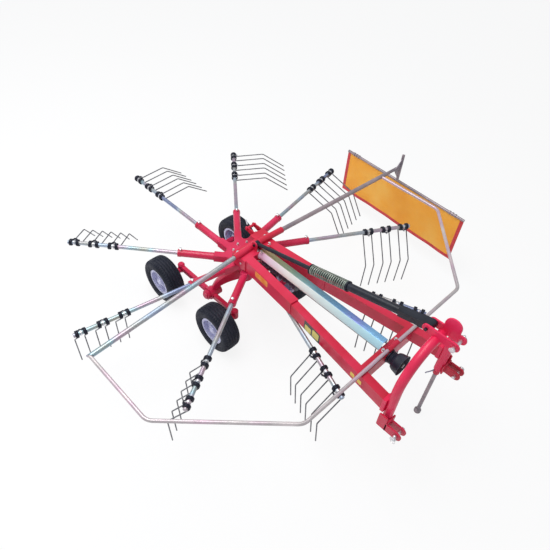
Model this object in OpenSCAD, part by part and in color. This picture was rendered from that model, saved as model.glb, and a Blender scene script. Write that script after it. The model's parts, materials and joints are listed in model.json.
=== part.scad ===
// Rotary hay rake for a tractor's three-point hitch. One rotor with nine tine
// arms turns about an upright column. Four wheels on two rocking bogies carry
// the column, and two beams run forward to an arched headstock. A tube guard
// runs round the front and the sides, and a swath curtain hangs on the
// machine's left. Forward is -Y, the machine's left is +X and up is +Z.

/* [Rotor] */
// Radius from the rotor axis to the outermost tine coil
rotor_reach = 1400; // [1340:5:1420]
// Height of the tine arms above the ground
arm_z = 652; // [645:1:656]
// Sideways offset of each arm from the rotor axis
arm_offset = 57.5; // [50:0.5:60]
// Heading of the first arm, from the machine's left
rotor_turn = 10.74; // [0:0.5:30]
// Diameter of the tine bar
bar_d = 32; // [28:1:34]
// Outer diameter of the arm's socket
socket_d = 58; // [48:1:60]
// Radius at which the socket ends
socket_end = 533; // [480:1:560]
// Distance from the axis to each flat of the nine-sided hub
hub_flat = 245; // [238:1:260]
// Height of the hub
hub_h = 92; // [80:1:94]
// Length of the bar beyond its outermost coil
bar_tail = 26; // [22:1:40]

/* [Tines] */
// Distance between pairs of tines along the arm
pair_pitch = 158.2; // [140:0.5:165]
// Distance between the two tines of a pair
coil_pitch = 54.3; // [50:0.1:60]
// Outer diameter of a tine's coil
coil_d = 57; // [50:1:58]
// Length of a coil along the bar
coil_w = 30; // [24:1:40]
// Diameter of the tine wire
wire_d = 9.5; // [8:0.5:11]
// Length from the coil to the bend
tine_upper = 285; // [240:5:300]
// Length from the bend to the tip
tine_lower = 255; // [200:5:280]
// Angle of the bend
tine_bend = 38.6; // [25:0.5:45]

/* [Wheels] */
// Tyre diameter
tyre_d = 410; // [380:2:420]
// Tyre width
tyre_w = 165; // [140:1:175]
// Bead diameter of the rim
bead_d = 210; // [190:1:220]
// Distance between the left and right wheel centres
track_w = 836; // [800:1:900]
// Distance from the rotor axis back to the rear wheels
wheel_rear = 584; // [540:1:610]
// Distance from the rotor axis forward to the front wheels
wheel_front = 130; // [100:1:160]
// Diameter of the stub axles
stub_d = 40; // [34:1:46]

/* [Frame] */
// Height of the beams' underside
beam_z = 695; // [693:1:705]
// Width of a beam
beam_w = 60; // [50:1:66]
// Height of a beam's front part
beam_h = 100; // [90:1:110]
// Width of a beam's rear part
beam_rear_w = 70; // [62:1:74]
// Height of a beam's rear part
beam_rear_h = 112; // [104:1:116]
// Distance of a beam's centre from the middle at the saddle
beam_x_rear = 118; // [112:1:126]
// Distance of a beam's centre from the middle where its rear part ends
beam_x_mid = 172; // [166:1:176]
// Distance from the rotor axis forward to the end of a beam's rear part
beam_mid = 690; // [600:5:760]
// Wall of the beam tubes
beam_wall = 5; // [4:0.5:8]
// Width of the saddle over the rotor, side to side
saddle_w = 330; // [326:1:350]
// Depth of the saddle, front to rear
saddle_l = 140; // [120:1:150]
// Height of the saddle
saddle_h = 100; // [95:1:110]

/* [Headstock] */
// Distance from the rotor axis forward to the headstock's rear face
arch_y = 1580; // [1560:1:1620]
// Radius of the arch, to the middle of its tube
arch_r = 300; // [290:1:306]
// Width of the arch's square tube
arch_w = 80; // [70:1:84]
// Height of the middle of the arch's bend
arch_z = 850; // [820:1:880]
// Height of the lower link pins above the ground
link_z = 609; // [600:1:620]
// Distance of the lower link pins ahead of the arch
link_reach = 79; // [70:1:95]
// Distance between the two lower link yokes, middle to middle
link_span = 642; // [630:1:660]
// Height of the top link pin above the lower ones
mast_h = 610; // [600:1:626]
// Diameter of the link pins
link_pin_d = 22; // [20:1:25]
// Thickness of the yoke plates
yoke_t = 12; // [10:1:14]

/* [Drive] */
// Height of the drive shaft
shaft_z = 745; // [742:1:750]
// Diameter of the drive shaft
shaft_d = 34; // [30:1:34]
// Diameter of the splined stub for the tractor's shaft
stub_pto_d = 34.9; // [34.9]
// Width of the folded guard over the shaft
cover_w = 74; // [74:1:84]
// Depth of the folded guard's sides
cover_side = 48; // [40:1:48]
// Length of the rubber boot on the drive shaft
bellows_l = 360; // [340:5:380]

/* [Guard] */
// Diameter of the guard tube
guard_d = 36; // [32:1:38]
// Half-width of the guard at its rear ends
guard_x = 1452; // [1430:1:1500]
// Distance from the rotor axis forward to the front run
guard_front = 1376; // [1370:1:1384]
// Half-width of the front run
guard_x_front = 795; // [760:1:840]
// Distance from the rotor axis forward to the outer corners
guard_corner = 764; // [700:1:800]
// Distance from the rotor axis forward to the rear ends
guard_rear = 170; // [150:1:200]

/* [Curtain] */
// Length of the curtain
curtain_l = 1356; // [1200:1:1400]
// Drop of the curtain
curtain_h = 434; // [380:1:450]
// Thickness of the curtain
curtain_t = 4; // [3:0.5:6]
// Height of the curtain's lower edge
curtain_z = 221; // [200:1:260]
// Angle that the curtain opens towards the rear
curtain_turn = 3.34; // [0:0.1:5]
// Reach of the curtain's post from the middle
post_x = 1710; // [1690:1:1760]
// Distance from the rotor axis forward to the post
post_y = 190; // [170:1:210]
// Height of the post's top
post_top = 935; // [880:1:980]
// Diameter of the curtain's bar
rail_d = 24; // [20:1:28]
// Length of the curtain's slide inside the guard's arm
slide_l = 250; // [220:5:280]

/* [Stand] */
// Distance of the parking stand from the middle
stand_x = 305; // [300:1:310]
// Diameter of the stand's tube
stand_d = 44; // [40:1:46]
// Length of the stand
stand_l = 600; // [580:1:620]
// Diameter of the stand's foot
foot_d = 110; // [90:5:120]
// Travel of the stand
stand_travel = 240; // [200:5:250]

/* [Hidden] */
$fn = 48;
seat = 0.3;        // gap at a round seat
run = 0.05;        // radial clearance of a bearing
arm_n = 9;
step_a = 360 / arm_n;
// How far each arm has rolled its tines back from straight down, first arm first
roll = [67, 95, 91.5, 75, 39.5, 36, 34, 35, 37.5];
mid_x = (post_x + 42 - guard_x - guard_d / 2) / 2;
mid_y = (rotor_reach + 30 - (arch_y + arch_w + link_reach + 77)) / 2;
beam_x_front = arch_r - 3;
saddle_front = saddle_l / 2 + 100;
saddle_z = beam_z + 5;
saddle_top = saddle_z + saddle_h;
column_d = 90;
hub_top = saddle_z - 10;
beam_top = beam_z + beam_h;
guard_z = beam_top + guard_d / 2 + seat;
cross_l = 60;
cross_y = guard_front - 16;
axle_y = (wheel_rear - wheel_front) / 2;
wheel_z = tyre_d / 2;
axle_w = 80;
bogie_x = 190;
bogie_t = 50;
strut_a = [-120, saddle_top + 48];
strut_b = [-arch_y + 25, link_z + mast_h - 1];
strut_len = norm(strut_b - strut_a);
strut_tilt = atan2(strut_b[1] - strut_a[1], -(strut_b[0] - strut_a[0]));
spring_s = 566;
spring_l = 312;
spring_d = 74;
rod_d = 30;
strut_tube_d = 55;
lug_gap = 32;
top_gap = 60;
front_y = arch_y + arch_w;
pad_top = arch_z + arch_r + arch_w / 2 + 4;
pto_end = front_y - 160;
cover_t = 3;
rail_z = curtain_z + curtain_h + rail_d / 2 + seat;
slide_d = guard_d - 8;
sleeve_d = guard_d + 14;

// Puts the origin on the ground under the middle of the machine.
module placed() translate([-mid_x, -mid_y, 0]) children();

// A round bar from point a to point b.
module rod(a, b, d) {
    v = b - a;
    translate(a) rotate([0, acos(v[2] / norm(v)), atan2(v[1], v[0])])
        cylinder(h = norm(v), d = d);
}

// A flat outline in the upright plane that runs front to rear, t thick.
module upright(t) rotate([90, 0, 90]) linear_extrude(t, center = true) children();

// A bar with round ends in plan, centred between the two points.
module slot2(a, b, d) {
    v = b - a;
    translate(a) circle(d = d);
    translate(b) circle(d = d);
    translate(a) rotate(atan2(v[1], v[0])) translate([0, -d / 2]) square([norm(v), d]);
}

// ---------------------------------------------------------------- frame

function beam_mid_pt() = [-beam_x_mid, -beam_mid];

// The outline of one beam: a deep rear tube that meets a slimmer front tube.
module beam_outer(grow = 0) {
    rear = [-beam_x_rear, -saddle_front + 40];
    mid = beam_mid_pt();
    front = [-beam_x_front, -arch_y - 40];
    a1 = atan2(mid[1] - rear[1], mid[0] - rear[0]);
    a2 = atan2(front[1] - mid[1], front[0] - mid[0]);
    translate([rear[0], rear[1], beam_z - grow]) rotate(a1)
        translate([0, -beam_rear_w / 2 - grow, 0])
            cube([norm(mid - rear), beam_rear_w + 2 * grow, beam_rear_h + 2 * grow]);
    translate([mid[0], mid[1], beam_z - grow]) rotate(a2)
        translate([-60, -beam_w / 2 - grow, 0])
            cube([norm(front - mid) + 60, beam_w + 2 * grow, beam_h + 2 * grow]);
}

module beam() difference() {
    beam_outer();
    // the tube is open at its front end
    mid = beam_mid_pt();
    front = [-beam_x_front, -arch_y - 40];
    a2 = atan2(front[1] - mid[1], front[0] - mid[0]);
    translate([mid[0], mid[1], beam_z + beam_wall]) rotate(a2)
        translate([60, -beam_w / 2 + beam_wall, 0])
            cube([norm(front - mid), beam_w - 2 * beam_wall, beam_h - 2 * beam_wall]);
    // ends square against the saddle and against the headstock
    translate([-2 * saddle_w, -saddle_front, beam_z - beam_h]) cube([4 * saddle_w, 2 * saddle_l, 3 * beam_h]);
    translate([-2 * arch_r, -arch_y - 2 * arch_w, beam_z - beam_h]) cube([4 * arch_r, 2 * arch_w, 3 * beam_h]);
}

// Distance of a beam's centre from the middle, y ahead of the rotor axis.
function beam_at(y) = beam_x_mid + (beam_x_front - beam_x_mid) * (y - beam_mid) / (arch_y + 40 - beam_mid);

module beam_right() placed() color("crimson") beam();
module beam_left() placed() color("crimson") mirror([1, 0, 0]) beam();

// A sleeve for one of the guard's arms, with a length l outside the saddle.
module sleeve(s, l) rod(side_point(s, saddle_w / 2 - 60), side_point(s, saddle_w / 2 + l), sleeve_d);
function side_point(s, x) = [s * x, -guard_arm_y(x), guard_z];

module saddle() placed() color("crimson") difference() {
    union() {
        translate([-saddle_w / 2, -saddle_front, saddle_z]) cube([saddle_w, saddle_l, saddle_h]);
        // sleeves for the guard's arms
        sleeve(-1, 40);
        sleeve(1, 120);
        // ears that carry the strut's rear pin
        for (s = [-1, 1])
            translate([s * (lug_gap / 2 + 5), 0, 0]) upright(10) {
                translate([strut_a[0], strut_a[1]]) circle(d = 52);
                translate([strut_a[0] - 26, saddle_top - 10]) square([52, strut_a[1] - saddle_top + 10]);
            }
    }
    for (s = [-1, 1]) rod(side_point(s, saddle_w / 2 - 25), side_point(s, saddle_w / 2 + 200), guard_d + 2 * seat);
    translate([-60, strut_a[0], strut_a[1]]) rotate([0, 90, 0]) cylinder(h = 120, d = 20 + 2 * seat);
}

// Distance forward of the guard's side arm at a distance x from the middle.
function guard_arm_y(x) = 84 + (guard_rear - 84) * x / guard_x;

module gearbox() placed() color("crimson") difference() {
    union() {
        translate([0, -saddle_front, shaft_z]) rotate([90, 0, 0]) cylinder(h = 8, d = 96);
        translate([0, -saddle_front - 8, shaft_z]) rotate([90, 0, 0]) cylinder(h = 14, d = 66);
    }
    translate([0, -saddle_front - 2, shaft_z]) rotate([90, 0, 0]) cylinder(h = 40, d = shaft_d + 2 * seat);
}

module column() placed() color("crimson") rotate_extrude()
    polygon([[0, wheel_z + axle_w / 2], [58, wheel_z + axle_w / 2], [58, hub_top - hub_h - 60],
        [76, hub_top - hub_h - 52], [76, hub_top - hub_h - seat], [column_d / 2, hub_top - hub_h - seat],
        [column_d / 2, saddle_z], [0, saddle_z]]);

module cross_beam() placed() color("crimson") difference() {
    translate([-beam_at(cross_y), -cross_y - cross_l / 2, beam_z]) cube([2 * beam_at(cross_y), cross_l, beam_h]);
    beam_outer();
    mirror([1, 0, 0]) beam_outer();
    translate([0, -cross_y + cross_l, shaft_z]) rotate([90, 0, 0]) cylinder(h = 2 * cross_l, d = shaft_d + 8);
}

// ------------------------------------------------------------- headstock

module arch_profile() {
    difference() {
        translate([0, arch_z]) circle(r = arch_r + arch_w / 2, $fn = 96);
        translate([0, arch_z]) circle(r = arch_r - arch_w / 2, $fn = 96);
        translate([-2 * arch_r, arch_z - 4 * arch_r]) square([4 * arch_r, 4 * arch_r]);
    }
    for (s = [-1, 1]) translate([s * arch_r - arch_w / 2, link_z - 34]) square([arch_w, arch_z - link_z + 34]);
}

module headstock_arch() placed() color("crimson") difference() {
    union() {
        translate([0, -arch_y, 0]) rotate([90, 0, 0]) linear_extrude(arch_w) arch_profile();
        // flat pad under the top link plates
        translate([-top_gap / 2 - yoke_t - 6, -front_y, pad_top - 40]) cube([top_gap + 2 * yoke_t + 12, arch_w, 40]);
    }
    // the parking stand slides up into the left leg
    translate([stand_x, -arch_y - arch_w / 2, link_z - 60]) cylinder(h = stand_l + stand_travel + 70 - link_z, d = stand_d + 2 * seat);
}

// A yoke for one lower link: a back plate on the leg and two cheeks.
module link_yoke() difference() {
    c = [-front_y - link_reach, link_z];
    union() {
        translate([-link_span / 2 - 31, -front_y - 12, link_z - 34])
            cube([link_span / 2 + 31 - (arch_r - arch_w / 2), 12, 78]);
        for (s = [-1, 1]) translate([-link_span / 2 + s * 25, 0, 0]) upright(yoke_t) {
            translate(c) circle(d = 68);
            translate([c[0], link_z - 34]) square([link_reach - 6, 68]);
        }
    }
    translate([-link_span / 2 - 60, c[0], c[1]]) rotate([0, 90, 0]) cylinder(h = 120, d = link_pin_d + 2 * seat);
}

module link_yoke_right() placed() color("crimson") link_yoke();
module link_yoke_left() placed() color("crimson") mirror([1, 0, 0]) link_yoke();

// Three link pins with their heads: two lower ones and the top one.
module link_pin(x, y, z, l) {
    translate([x - l / 2, y, z]) rotate([0, 90, 0]) cylinder(h = l, d = link_pin_d);
    translate([x - l / 2 - 8, y, z]) rotate([0, 90, 0]) cylinder(h = 8, d = link_pin_d + 14);
}

module link_pins() placed() color("silver") {
    link_pin(-link_span / 2, -front_y - link_reach, link_z, 100);
    mirror([1, 0, 0]) link_pin(-link_span / 2, -front_y - link_reach, link_z, 100);
    link_pin(0, top_pin_y(), link_z + mast_h, top_gap + 60);
}

function top_pin_y() = -front_y - 75;

// Two plates on the arch's pad, with a lug on top for the lifting chain.
module top_link_plates() placed() color("crimson") difference() {
    for (s = [-1, 1]) translate([s * (top_gap / 2 + yoke_t / 2), 0, 0]) upright(yoke_t) difference() {
        hull() {
            translate([strut_b[0], strut_b[1] + 6]) circle(r = 42);
            translate([-front_y - 22, link_z + mast_h + 82]) circle(r = 46);
            translate([top_pin_y(), link_z + mast_h]) circle(r = 40);
        }
        // they stand on the pad
        translate([-front_y - seat, pad_top - 200]) square([arch_w + 2 * seat, 200]);
    }
    translate([-60, top_pin_y(), link_z + mast_h]) rotate([0, 90, 0]) cylinder(h = 120, d = link_pin_d + 2 * seat);
    translate([-60, -front_y - 22, link_z + mast_h + 82]) rotate([0, 90, 0]) cylinder(h = 120, d = link_pin_d + 2 * seat);
    translate([-60, strut_b[0], strut_b[1]]) rotate([0, 90, 0]) cylinder(h = 120, d = 20 + 2 * seat);
}

// ----------------------------------------------------------------- strut

// Runs from the strut's rear pin to its front pin: +Z is along the strut.
module along_strut() translate([0, strut_a[0], strut_a[1]]) rotate([90 - strut_tilt, 0, 0]) children();

module strut_rod() placed() color("dimgray") along_strut() {
    difference() {
        union() {
            rotate([0, 90, 0]) cylinder(h = lug_gap - 2 * seat, d = 46, center = true);
            cylinder(h = spring_s + spring_l + 20, d = rod_d);
            translate([0, 0, spring_s - 8]) cylinder(h = 8, d = spring_d);
        }
        rotate([0, 90, 0]) cylinder(h = 60, d = 20 + 2 * seat, center = true);
    }
    // pin through the saddle's ears
    rotate([0, 90, 0]) cylinder(h = lug_gap + 40, d = 20, center = true);
}

module strut_spring() placed() color("slategray") along_strut() translate([0, 0, spring_s])
    difference() {
        cylinder(h = spring_l, d = spring_d);
        translate([0, 0, -1]) cylinder(h = spring_l + 2, d = spring_d - 20);
    }

module strut_tube() placed() color("dimgray") along_strut() {
    difference() {
        union() {
            translate([0, 0, spring_s + spring_l]) cylinder(h = 10, d = spring_d);
            translate([0, 0, spring_s + spring_l]) cylinder(h = strut_len - spring_s - spring_l - 40, d = strut_tube_d);
            translate([0, 0, strut_len]) rotate([0, 90, 0]) cylinder(h = top_gap - 2 * seat, d = 56, center = true);
            translate([-(top_gap - 2 * seat) / 2, -28, strut_len - 70]) cube([top_gap - 2 * seat, 56, 70]);
        }
        translate([0, 0, spring_s + spring_l - 1]) cylinder(h = 60, d = rod_d + 2 * seat);
        translate([0, 0, strut_len]) rotate([0, 90, 0]) cylinder(h = 80, d = 20 + 2 * seat, center = true);
    }
    translate([0, 0, strut_len]) rotate([0, 90, 0]) cylinder(h = top_gap + 50, d = 20, center = true);
}

// ----------------------------------------------------------------- drive

// The folded guard over the drive shaft, open underneath.
module shaft_cover() placed() color("lightsteelblue") difference() {
    translate([-cover_w / 2, -cross_y + cross_l / 2, shaft_z + 34])
        cube([cover_w, cross_y - cross_l / 2 - saddle_front, cover_side]);
    translate([-cover_w / 2 + cover_t, -cross_y + cross_l / 2 - 1, shaft_z + 33])
        cube([cover_w - 2 * cover_t, cross_y, cover_side + 1 - cover_t]);
}

module drive_shaft() placed() color("dimgray") {
    translate([0, -saddle_front - 2.3, shaft_z]) rotate([90, 0, 0])
        cylinder(h = cross_y + cross_l / 2 + 8 - saddle_front - 2.3, d = shaft_d);
    translate([0, -cross_y - cross_l / 2 - 8, shaft_z]) rotate([90, 0, 0])
        cylinder(h = pto_end - cross_y - cross_l / 2 - 8, d = stub_pto_d);
}

module shaft_bellows() placed() color("black")
    translate([0, -saddle_front - 40, shaft_z]) rotate([90, 0, 0]) rotate_extrude() polygon(concat(
        [[shaft_d / 2 + seat, bellows_l], [shaft_d / 2 + seat, 0]],
        [for (i = [0:8]) each [[33, i * bellows_l / 10 + 4], [44, i * bellows_l / 10 + 18], [44, i * bellows_l / 10 + 26]]],
        [[33, bellows_l - 26], [45, bellows_l - 26], [45, bellows_l]]));

// The bell-shaped guard round the splined stub.
module pto_guard() placed() color("black") translate([0, -cross_y - cross_l / 2, shaft_z]) rotate([90, 0, 0])
    rotate_extrude() polygon([[24, 0], [58, 0], [62, 20], [76, 108], [72, 108], [58, 22], [54, 5], [24, 5]]);

// ----------------------------------------------------------------- guard

gp = [[guard_x, -guard_rear], [guard_x - 7, -guard_corner], [guard_x_front, -guard_front]];

function unit(v) = v / norm(v);
function far(p) = [-p[0], p[1]];

// Cuts away what lies beyond the mitre at point p, where a run that arrives
// along u goes on along v.
module mitre(p, u, v) translate([p[0], p[1], guard_z])
    rotate(atan2(u[1] + v[1], u[0] + v[0])) translate([0, -3 * guard_d, -3 * guard_d]) cube([12 * guard_d, 6 * guard_d, 6 * guard_d]);

// A straight run of guard tube from p to q. The tube comes to p from point o
// and goes on from q to point r.
module run_tube(o, p, q, r) {
    u = unit(q - p);
    e = guard_d * u;
    difference() {
        rod([p[0] - e[0], p[1] - e[1], guard_z], [q[0] + e[0], q[1] + e[1], guard_z], guard_d);
        mitre(q, u, unit(r - q));
        mitre(p, -u, -unit(p - o));
    }
}

arm_end = [saddle_w / 2 - 25, -guard_arm_y(saddle_w / 2 - 25)];

module guard_arm_right() placed() color("silver") mirror([1, 0, 0]) difference() {
    run_tube([0, -guard_arm_y(0)], arm_end, gp[0], gp[1]);
    translate([arm_end[0] - 6 * guard_d, arm_end[1] - 3 * guard_d, guard_z - 3 * guard_d]) cube([6 * guard_d, 6 * guard_d, 6 * guard_d]);
}
module guard_side_right() placed() color("silver") mirror([1, 0, 0]) run_tube(arm_end, gp[0], gp[1], gp[2]);
module guard_corner_right() placed() color("silver") mirror([1, 0, 0]) run_tube(gp[0], gp[1], gp[2], far(gp[2]));
module guard_corner_left() placed() color("silver") run_tube(gp[0], gp[1], gp[2], far(gp[2]));
module guard_front_run() placed() color("silver") run_tube(gp[1], gp[2], far(gp[2]), far(gp[1]));

// The left arm runs on past the guard's corner and holds the curtain's slide.
arm_out = guard_x + 60;
module guard_arm_left() placed() color("silver") difference() {
    rod([arm_end[0], arm_end[1], guard_z], arm_point(arm_out), guard_d);
    translate([arm_end[0] - 40, arm_end[1] - 100, guard_z - 100]) cube([44, 200, 200]);
    rod(arm_point(guard_x - 420), arm_point(arm_out + 60), slide_d + 2 * seat);
}
function arm_point(x) = [x, -guard_arm_y(x), guard_z];

module guard_side_left() placed() color("silver") difference() {
    run_tube([gp[0][0], 0], gp[0], gp[1], gp[2]);
    rod(arm_point(guard_x - 200), arm_point(guard_x + 200), guard_d + 2 * seat);
}

// --------------------------------------------------------------- curtain

module curtain_carrier() placed() color("silver") {
    rod(arm_point(guard_x - slide_l), arm_point(post_x), slide_d);
    translate([post_x, -post_y, rail_z + rail_d / 2 + seat])
        cylinder(h = post_top - rail_z - rail_d / 2 - seat, d = 26);
    // gusset under the arm
    translate([0, -post_y + 3, 0]) rotate([90, 0, 0]) linear_extrude(6)
        polygon([[post_x, rail_z + rail_d / 2 + 3], [post_x, guard_z + 90], [post_x - 90, guard_z], [post_x - 90, guard_z - 8]]);
}

module on_curtain() translate([post_x, -post_y, 0]) rotate(-curtain_turn) children();
curtain_back = 615;

module curtain_rail() placed() color("silver") on_curtain()
    translate([0, curtain_back, rail_z]) rotate([90, 0, 0]) cylinder(h = curtain_l, d = rail_d);

module curtain_sheet() placed() color("orange") on_curtain()
    translate([-curtain_t / 2, curtain_back - curtain_l, curtain_z]) cube([curtain_t, curtain_l, curtain_h]);

// ----------------------------------------------------------- running gear

module axle_beam() placed() color("crimson") {
    translate([-bogie_x, axle_y - axle_w / 2, wheel_z - axle_w / 2]) cube([2 * bogie_x, axle_w, axle_w]);
    translate([-60, -62, wheel_z - axle_w / 2]) cube([120, axle_y - axle_w / 2 + 62, axle_w]);
}

// A rocking beam with the stub axles of its two wheels.
module bogie() {
    translate([bogie_x + bogie_t / 2, 0, 0]) upright(bogie_t) {
        slot2([-wheel_front, wheel_z], [wheel_rear, wheel_z], 76);
        translate([axle_y, wheel_z]) circle(d = 116);
        polygon([[-wheel_front + 60, wheel_z + 38], [axle_y, wheel_z + 58], [wheel_rear - 60, wheel_z + 38]]);
    }
    for (y = [-wheel_front, wheel_rear]) translate([0, y, wheel_z]) rotate([0, 90, 0]) {
        translate([0, 0, bogie_x + bogie_t - 1]) cylinder(h = track_w / 2 - 42 - bogie_x - bogie_t + 1, d = stub_d + 18);
        translate([0, 0, bogie_x + bogie_t - 1]) cylinder(h = track_w / 2 + 46 - bogie_x - bogie_t + 1, d = stub_d);
    }
}
module bogie_left() placed() color("crimson") bogie();
module bogie_right() placed() color("crimson") mirror([1, 0, 0]) bogie();

module at_wheel(k) translate([0, k % 2 == 0 ? -wheel_front : wheel_rear, wheel_z])
    mirror([k < 2 ? 0 : 1, 0, 0]) translate([track_w / 2, 0, 0]) rotate([0, 90, 0]) children();

module tyre(k) placed() color("black") at_wheel(k) rotate_extrude($fn = 64) polygon([
    for (p = [[bead_d / 2 + seat, -0.37], [bead_d / 2 + 14, -0.37], [bead_d / 2 + 20, -0.43], [bead_d / 2 + 45, -0.5],
        [tyre_d / 2 - 28, -0.487], [tyre_d / 2 - 9, -0.41], [tyre_d / 2, -0.26],
        [tyre_d / 2, 0.26], [tyre_d / 2 - 9, 0.41], [tyre_d / 2 - 28, 0.487],
        [bead_d / 2 + 45, 0.5], [bead_d / 2 + 20, 0.43], [bead_d / 2 + 14, 0.37], [bead_d / 2 + seat, 0.37]])
        [p[0], p[1] * tyre_w]]);

module rim(k) placed() color("lightgray") at_wheel(k) rotate_extrude($fn = 64) {
    e = 0.37 * tyre_w + seat;
    b = bead_d / 2;
    polygon([[stub_d / 2 + run, -38], [38, -38], [38, 8], [58, 8], [70, 22], [b - 6, 22], [b - 6, -e - 3], [b + 12, -e - 3],
        [b + 12, -e], [b, -e], [b, e], [b + 12, e], [b + 12, e + 3], [b - 6, e + 3], [b - 6, 27], [66, 27],
        [54, 13], [38, 13], [38, 50], [stub_d / 2 + run, 50]]);
}

module stand_leg() placed() color("silver") translate([stand_x, -arch_y - arch_w / 2, 0]) {
    cylinder(h = stand_l, d = stand_d);
    cylinder(h = 8, d = foot_d);
    translate([0, 0, 8]) cylinder(h = 10, d1 = 80, d2 = stand_d + 6);
}

// ----------------------------------------------------------------- rotor

module rotor_hub() placed() color("crimson") difference() {
    union() {
        translate([0, 0, hub_top - hub_h]) rotate(rotor_turn + step_a / 2)
            cylinder(h = hub_h - 14, r = hub_flat / cos(step_a / 2), $fn = 9);
        translate([0, 0, hub_top - 14]) cylinder(h = 14, r = hub_flat - 40);
    }
    translate([0, 0, hub_top - hub_h - 1]) cylinder(h = hub_h + 2, d = column_d + 2 * run);
}

// Places its children on arm k, with +X out along the arm's own axis.
module on_arm(k) rotate(rotor_turn + k * step_a) translate([0, arm_offset, arm_z]) children();

module arm_sockets() placed() color("crimson") for (k = [0:arm_n - 1]) on_arm(k) rotate([0, 90, 0]) difference() {
    union() {
        translate([0, 0, hub_flat]) cylinder(h = socket_end - hub_flat, d = socket_d);
        translate([0, 0, hub_flat]) cylinder(h = 60, d1 = socket_d + 14 - 10, d2 = socket_d);
        translate([0, 0, socket_end - 22]) cylinder(h = 22, d = socket_d + 4);
    }
    translate([0, 0, hub_flat + 30]) cylinder(h = socket_end, d = bar_d + 2 * seat);
}

module tine_bar(k) placed() color("silver") on_arm(k) rotate([0, 90, 0])
    translate([0, 0, hub_flat + 30]) cylinder(h = rotor_reach + bar_tail - hub_flat - 30, d = bar_d);

// The three pairs of spring tines on arm k.
module tines(k) placed() color("dimgray") on_arm(k)
    for (p = [0:2]) for (c = [0, 1]) translate([rotor_reach - p * pair_pitch - c * coil_pitch, 0, 0]) {
        rotate([0, 90, 0]) difference() {
            cylinder(h = coil_w, d = coil_d, center = true);
            cylinder(h = coil_w + 2, d = bar_d + 2 * seat, center = true);
        }
        rotate([-roll[k], 0, 0]) translate([0, coil_d / 2 - wire_d / 2, 0]) {
            rotate([180, 0, 0]) cylinder(h = tine_upper, d = wire_d, $fn = 16);
            translate([0, 0, -tine_upper]) sphere(d = wire_d, $fn = 16);
            translate([0, 0, -tine_upper]) rotate([180 + tine_bend, 0, 0]) cylinder(h = tine_lower, d = wire_d, $fn = 16);
        }
    }

saddle();
gearbox();
column();
beam_left();
beam_right();
cross_beam();
headstock_arch();
link_yoke_left();
link_yoke_right();
link_pins();
top_link_plates();
strut_rod();
strut_spring();
strut_tube();
shaft_cover();
drive_shaft();
shaft_bellows();
pto_guard();
guard_arm_left();
guard_arm_right();
guard_side_left();
guard_side_right();
guard_corner_left();
guard_corner_right();
guard_front_run();
axle_beam();
bogie_left();
bogie_right();
stand_leg();
curtain_carrier();
curtain_rail();
curtain_sheet();
rotor_hub();
arm_sockets();
for (k = [1:4]) tyre(k - 1);
for (k = [1:4]) rim(k - 1);
for (k = [1:arm_n]) tine_bar(k - 1);
for (k = [1:arm_n]) tines(k - 1);
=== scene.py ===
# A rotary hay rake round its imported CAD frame: finishes for the CAD nodes, and new pieces
# where the solids stay plain, such as the star hub, the arch, wire, cloth and tread.
# Points for at() and outlines for plates() are in millimetres, all else in metres.
import json
import math

import bpy
import numpy as np
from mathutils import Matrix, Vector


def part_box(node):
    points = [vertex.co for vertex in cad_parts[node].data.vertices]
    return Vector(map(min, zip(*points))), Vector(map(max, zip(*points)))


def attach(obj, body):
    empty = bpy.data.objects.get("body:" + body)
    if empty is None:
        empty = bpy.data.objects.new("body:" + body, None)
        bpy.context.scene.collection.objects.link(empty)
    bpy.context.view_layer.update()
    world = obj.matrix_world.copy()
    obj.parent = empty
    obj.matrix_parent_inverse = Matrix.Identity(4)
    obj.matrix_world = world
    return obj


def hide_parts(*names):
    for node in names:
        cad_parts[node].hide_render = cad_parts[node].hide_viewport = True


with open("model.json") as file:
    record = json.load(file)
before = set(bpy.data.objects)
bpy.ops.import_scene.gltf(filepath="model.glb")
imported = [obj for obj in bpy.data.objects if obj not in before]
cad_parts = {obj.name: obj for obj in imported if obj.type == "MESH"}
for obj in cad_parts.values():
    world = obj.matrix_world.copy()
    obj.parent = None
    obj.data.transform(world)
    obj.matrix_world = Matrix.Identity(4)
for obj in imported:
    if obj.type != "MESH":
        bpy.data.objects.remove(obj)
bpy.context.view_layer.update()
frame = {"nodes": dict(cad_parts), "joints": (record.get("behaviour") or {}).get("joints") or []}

# Camera
# Stands ahead of the machine on its right, well above it, and looks down at the
# rotor. The shift moves the picture as the crop of the photograph does.
camera = bpy.data.objects.new("camera", bpy.data.cameras.new("camera"))
bpy.context.scene.collection.objects.link(camera)
bpy.context.scene.camera = camera
camera.location = (-2.16429, -2.01534, 3.50178)
camera.rotation_euler = [math.radians(a) for a in (43.10629, -1.50638, -42.67639)]
camera.data.sensor_width = 36
camera.data.lens = 34.16
camera.data.shift_x, camera.data.shift_y = 0.03333, 0.01770

# Ground and light
# A pale floor that takes a soft shadow, a white surround, and two broad lamps: a
# sky-like one overhead and a weaker one from the camera's side.
floor_mesh = bpy.data.meshes.new("floor")
floor_mesh.from_pydata([(-40, -40, 0), (40, -40, 0), (40, 40, 0), (-40, 40, 0)], [], [(0, 1, 2, 3)])
floor = bpy.data.objects.new("floor", floor_mesh)
bpy.context.scene.collection.objects.link(floor)
pale = bpy.data.materials.new("pale floor")
pale.use_nodes = True
tree = pale.node_tree
shader = tree.nodes["Principled BSDF"]
shader.inputs["Base Color"].default_value = (0.86, 0.86, 0.87, 1)
shader.inputs["Roughness"].default_value = 0.9
shader.inputs["Specular IOR Level"].default_value = 0.1
glow = tree.nodes.new("ShaderNodeEmission")
glow.inputs["Strength"].default_value = 1.0
path = tree.nodes.new("ShaderNodeLightPath")
share = tree.nodes.new("ShaderNodeMath")
share.operation = "MULTIPLY"
share.inputs[1].default_value = 0.86
blend = tree.nodes.new("ShaderNodeMixShader")
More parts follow.
